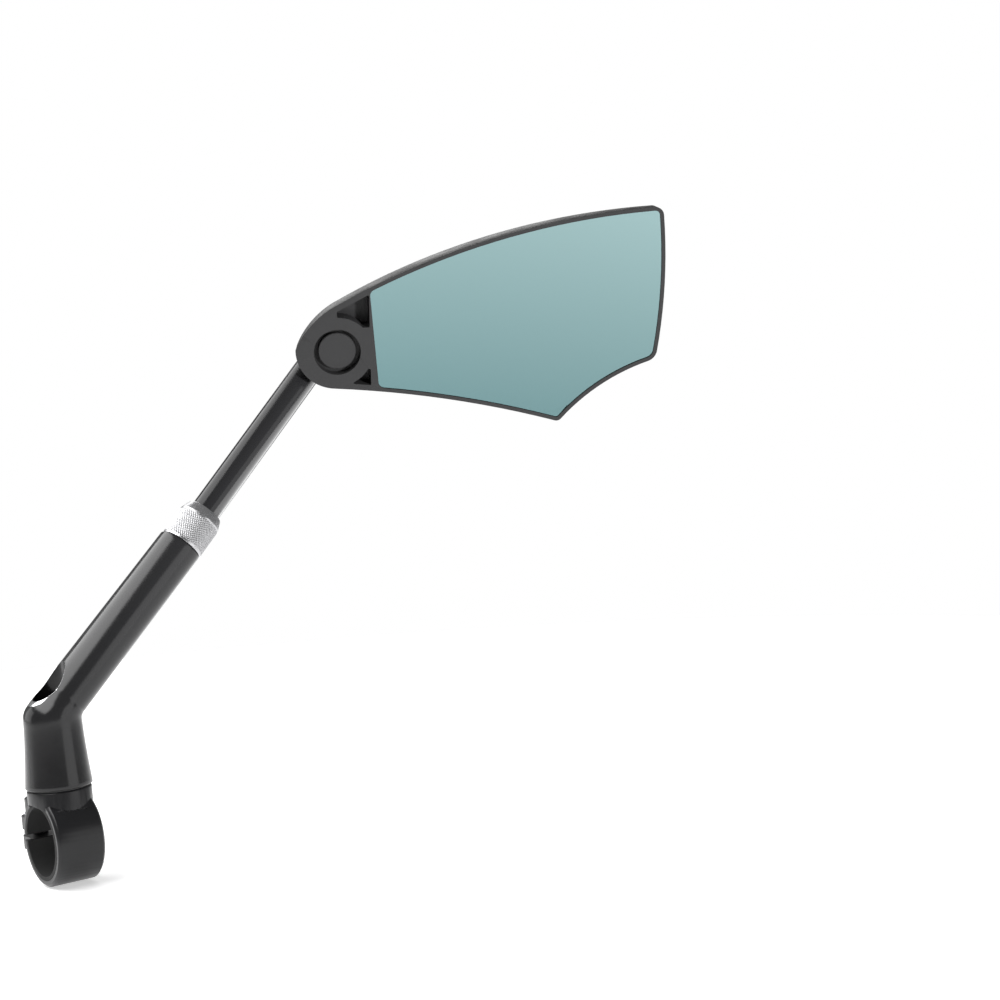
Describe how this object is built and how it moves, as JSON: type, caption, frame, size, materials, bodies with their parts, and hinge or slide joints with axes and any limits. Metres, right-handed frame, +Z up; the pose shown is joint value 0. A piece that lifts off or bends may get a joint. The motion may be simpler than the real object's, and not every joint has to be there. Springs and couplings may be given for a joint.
{
  "type": "bicycle handlebar mirror",
  "caption": "Handlebar mirror with a bar clamp, a swivelling elbow arm, a telescopic rod locked by a knurled collar, and a ball-jointed shell that holds tinted glass.",
  "frame": {"origin": "centre of the clamp's bore, on the handlebar's axis", "axes": "+X along the handlebar, outboard; +Z up the foot of the arm; +Y forward, away from the rider, so the glass faces -Y"},
  "size_m": [0.2214, 0.1073, 0.2043],
  "materials": {
    "anodised_black": "black anodised aluminium, satin",
    "liner_rubber": "matte black rubber",
    "black_steel": "black oxide steel, satin",
    "zinc_steel": "zinc plated steel",
    "washer_nylon": "black nylon",
    "arm_black": "black anodised aluminium with long soft highlights",
    "collar_aluminium": "bright knurled aluminium with a turned cone",
    "collet_nylon": "black nylon",
    "rod_black": "gloss black anodised aluminium",
    "ball_steel": "polished steel",
    "socket_nylon": "black nylon",
    "spring_steel": "spring steel",
    "cap_plastic": "matte black moulded plastic",
    "shell_plastic": "matte black glass-filled nylon, fine grain",
    "mirror_teal": "teal tinted anti-glare mirror glass",
    "pad_foam": "black adhesive foam"
  },
  "bodies": {
    "clamp": {"clamp_band": "anodised_black", "clamp_liner": "liner_rubber", "clamp_bolt": "black_steel", "clamp_washer": "zinc_steel", "clamp_nut": "zinc_steel", "swivel_washer": "washer_nylon", "arm_bolt": "black_steel", "arm_washer": "zinc_steel", "arm_spring_washer": "zinc_steel"},
    "arm": {"arm": "arm_black", "collet": "collet_nylon"},
    "collar": {"lock_collar": "collar_aluminium"},
    "guide": {"rod_bush": "collet_nylon"},
    "rod": {"rod": "rod_black", "rod_plug": "shell_plastic", "ball_stud": "ball_steel"},
    "socket": {"socket_front": "socket_nylon", "socket_rear": "socket_nylon"},
    "head": {"head_shell": "shell_plastic", "mirror_glass": "mirror_teal", "glass_pad": "pad_foam", "pivot_cap": "cap_plastic", "socket_spring": "spring_steel"}
  },
  "joints": [
    {"name": "arm_swivel", "type": "hinge", "parent": "clamp", "child": "arm", "pos_m": [0, 0, 0.0171], "axis": [0, 0, 1], "range_deg": [-180, 180]},
    {"name": "collar_turn", "type": "hinge", "parent": "arm", "child": "collar", "pos_m": [0.05586, 0, 0.09366], "axis": [0.7071, 0, 0.7071], "range_deg": [0, 330]},
    {"name": "rod_slide", "type": "slide", "parent": "arm", "child": "guide", "axis": [0.7071, 0, 0.7071], "range_m": [-0.03, 0.012]},
    {"name": "rod_twist", "type": "hinge", "parent": "guide", "child": "rod", "pos_m": [0.0396, 0, 0.0774], "axis": [0.7071, 0, 0.7071], "range_deg": [-180, 180]},
    {"name": "head_tilt", "type": "hinge", "parent": "rod", "child": "socket", "pos_m": [0.11759, 0, 0.15539], "axis": [-0.7026, 0.1124, 0.7026], "range_deg": [-5, 25]},
    {"name": "head_swing", "type": "hinge", "parent": "socket", "child": "head", "pos_m": [0.11759, 0, 0.15539], "axis": [-0.4522, -0.8329, -0.319], "range_deg": [-20, 20]}
  ]
}
